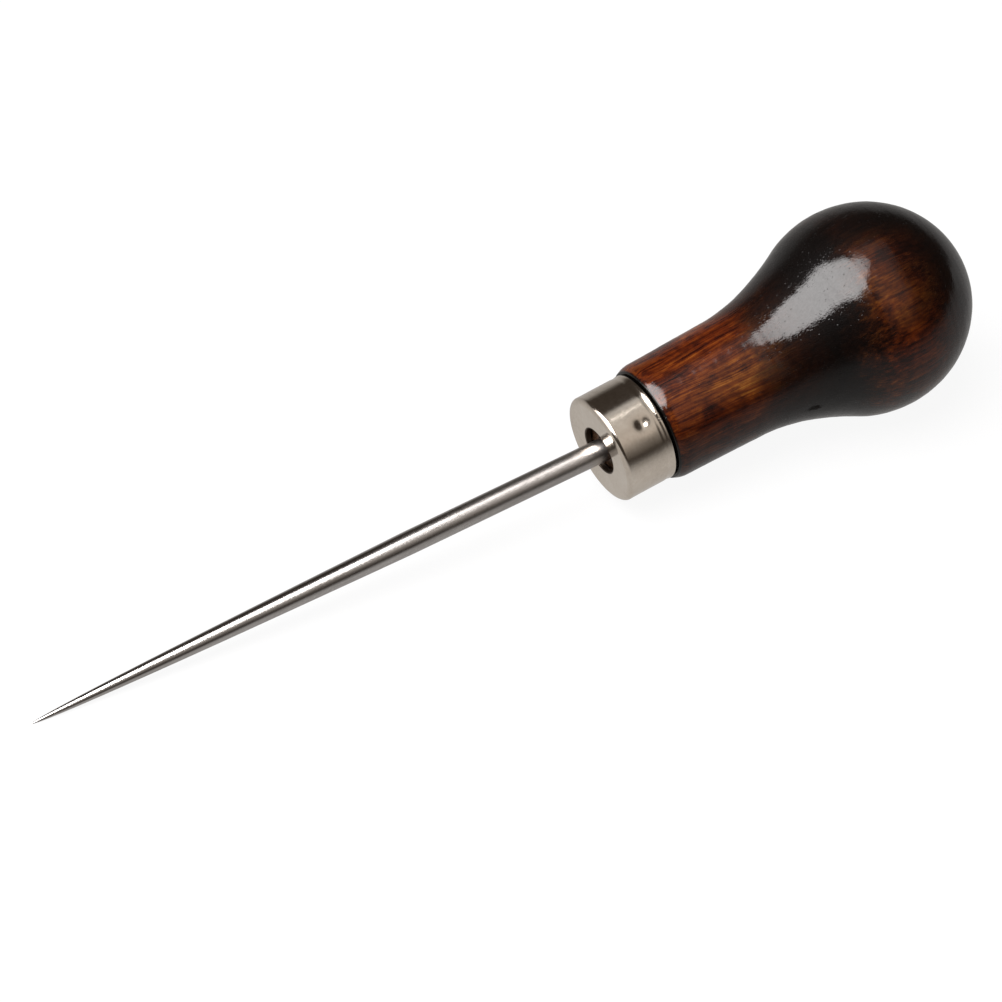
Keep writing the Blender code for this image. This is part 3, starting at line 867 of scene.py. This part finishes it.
# the room: dim, with a pale ceiling strip that crosses over the piece and fades towards the camera's side
world = bpy.data.worlds.new("studio")
bpy.context.scene.world = world
world.use_nodes = True
wn = Nodes.__new__(Nodes)
wn.tree, wn.count = world.node_tree, 0
wn.tree.nodes.clear()
wn.out = wn.add("ShaderNodeOutputWorld")
way = wn.add("ShaderNodeSeparateXYZ")
wn.put(way.inputs[0], wn.add("ShaderNodeTexCoord").outputs["Generated"])
wx, wy, wz = way.outputs
turn = wn.math("ARCTAN2", wn.math("MULTIPLY", wy, -1.0), wz)  # 0 overhead, 90 the near horizon, 180 below
turn = wn.math("MULTIPLY_ADD", turn, 0.5 / math.pi, 0.5)
STRIP = [
    (-70, 0.0), (-28, 0.0), (-22.5, 0.02), (-16.5, 0.47), (-10, 0.51), (10, 0.52), (22, 0.51), (33, 0.48), (42, 0.51),
    (50, 0.46), (56, 0.37), (62, 0.26), (70, 0.15), (80, 0.065), (87, 0.0),
]
FLOOR = [
    (-180, 0.42), (-150, 0.46), (-140, 0.47), (-118, 0.42), (-100, 0.35), (-92, 0.31), (-84, 0.22), (-78, 0.09), (-70, 0.0),
    (87, 0.0), (96, 0.07), (104, 0.24), (115, 0.39), (126, 0.43), (140, 0.46), (155, 0.44), (180, 0.42),
]
strip = wn.ramp(turn, [(0.5 + b / 360.0, v) for b, v in STRIP])
strip = wn.math("MULTIPLY", strip, wn.range(wx, -0.14, 0.02))
strip = wn.math("MULTIPLY", strip, wn.range(wx, 0.52, 0.34))
below = wn.ramp(turn, [(0.5 + b / 360.0, v) for b, v in FLOOR])
strip_glow = wn.add("ShaderNodeBackground")
# cooler light from behind, warmer from the front
wn.put(
    strip_glow.inputs[0],
    wn.ramp(turn, [(0.5 + b / 360.0, c) for b, c in ((-25, (0.93, 0.95, 0.97)), (-5, (0.97, 0.955, 0.93)), (22, (1.0, 0.948, 0.895)), (50, (1.0, 0.92, 0.845)))]),
)
wn.put(strip_glow.inputs[1], strip)
room = wn.add("ShaderNodeBackground")
room.inputs[0].default_value = (0.042, 0.034, 0.028, 1.0)
below_glow = wn.add("ShaderNodeBackground")
below_glow.inputs[0].default_value = (1.0, 0.985, 0.97, 1.0)
matt = wn.add("ShaderNodeLightPath").outputs["Is Diffuse Ray"]
wn.put(below_glow.inputs[1], wn.math("MULTIPLY", below, wn.math("ADD", matt, 1.0)))
lights = wn.add("ShaderNodeAddShader")
wn.tree.links.new(strip_glow.outputs[0], lights.inputs[0])
wn.tree.links.new(below_glow.outputs[0], lights.inputs[1])
both = wn.add("ShaderNodeAddShader")
wn.tree.links.new(lights.outputs[0], both.inputs[0])
wn.tree.links.new(room.outputs[0], both.inputs[1])
wall = wn.add("ShaderNodeBackground")
wall.inputs[0].default_value = (0.93, 0.93, 0.93, 1.0)
view_mix = wn.add("ShaderNodeMixShader")
wn.put(view_mix.inputs[0], wn.add("ShaderNodeLightPath").outputs["Is Camera Ray"])
wn.tree.links.new(both.outputs[0], view_mix.inputs[1])
wn.tree.links.new(wall.outputs[0], view_mix.inputs[2])
wn.tree.links.new(view_mix.outputs[0], wn.out.inputs[0])

camera_data = bpy.data.cameras.new("camera")
camera_data.lens = 150.0
camera_data.sensor_width = 36.0
camera_data.clip_start = 0.01
camera_data.clip_end = 50.0
camera = bpy.data.objects.new("camera", camera_data)
bpy.context.scene.collection.objects.link(camera)
right = Vector((0.84881824, -0.52868478, 0.0))
above = Vector((0.35759868, 0.57413471, 0.73654091))
back = Vector((-0.38939797, -0.62518936, 0.676393))
camera.matrix_world = Matrix(
    (
        (right.x, above.x, back.x, -0.226886),
        (right.y, above.y, back.y, -0.360540),
        (right.z, above.z, back.z, 0.397570),
        (0.0, 0.0, 0.0, 1.0),
    )
)
bpy.context.scene.camera = camera
bpy.context.scene.view_settings.view_transform = "Standard"
bpy.context.scene.view_settings.look = "None"
bpy.context.scene.view_settings.exposure = 0.0
bpy.context.scene.view_settings.gamma = 1.0
